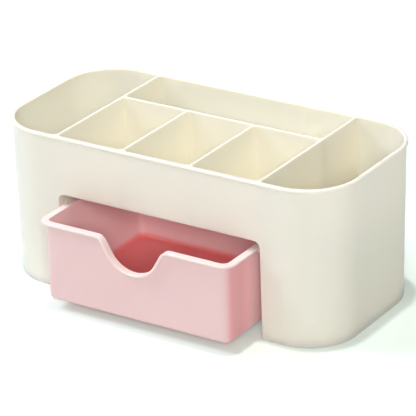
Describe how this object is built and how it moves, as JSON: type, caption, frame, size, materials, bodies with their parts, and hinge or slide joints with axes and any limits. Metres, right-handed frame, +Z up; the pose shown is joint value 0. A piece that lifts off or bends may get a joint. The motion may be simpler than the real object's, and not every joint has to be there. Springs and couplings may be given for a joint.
{
  "type": "makeup organizer with drawer",
  "caption": "Oblong desktop organizer with rounded ends, open compartments on top and a small pull-out drawer with a scooped finger notch at the front.",
  "frame": {"origin": "middle of the footprint on the table, with the drawer pulled out as modelled", "axes": "+X to the right along the long side, +Y to the back, +Z up; the drawer pulls out along -Y"},
  "size_m": [0.22, 0.1324, 0.0935],
  "materials": {
    "cream_plastic": "smooth",
    "pink_plastic": "smooth"
  },
  "bodies": {
    "box": {"compartment_box": "cream_plastic"},
    "drawer": {"drawer": "pink_plastic"}
  },
  "joints": [
    {"name": "drawer_slide", "type": "slide", "parent": "box", "child": "drawer", "axis": [0, -1, 0], "range_m": [-0.0287, 0.045]}
  ]
}
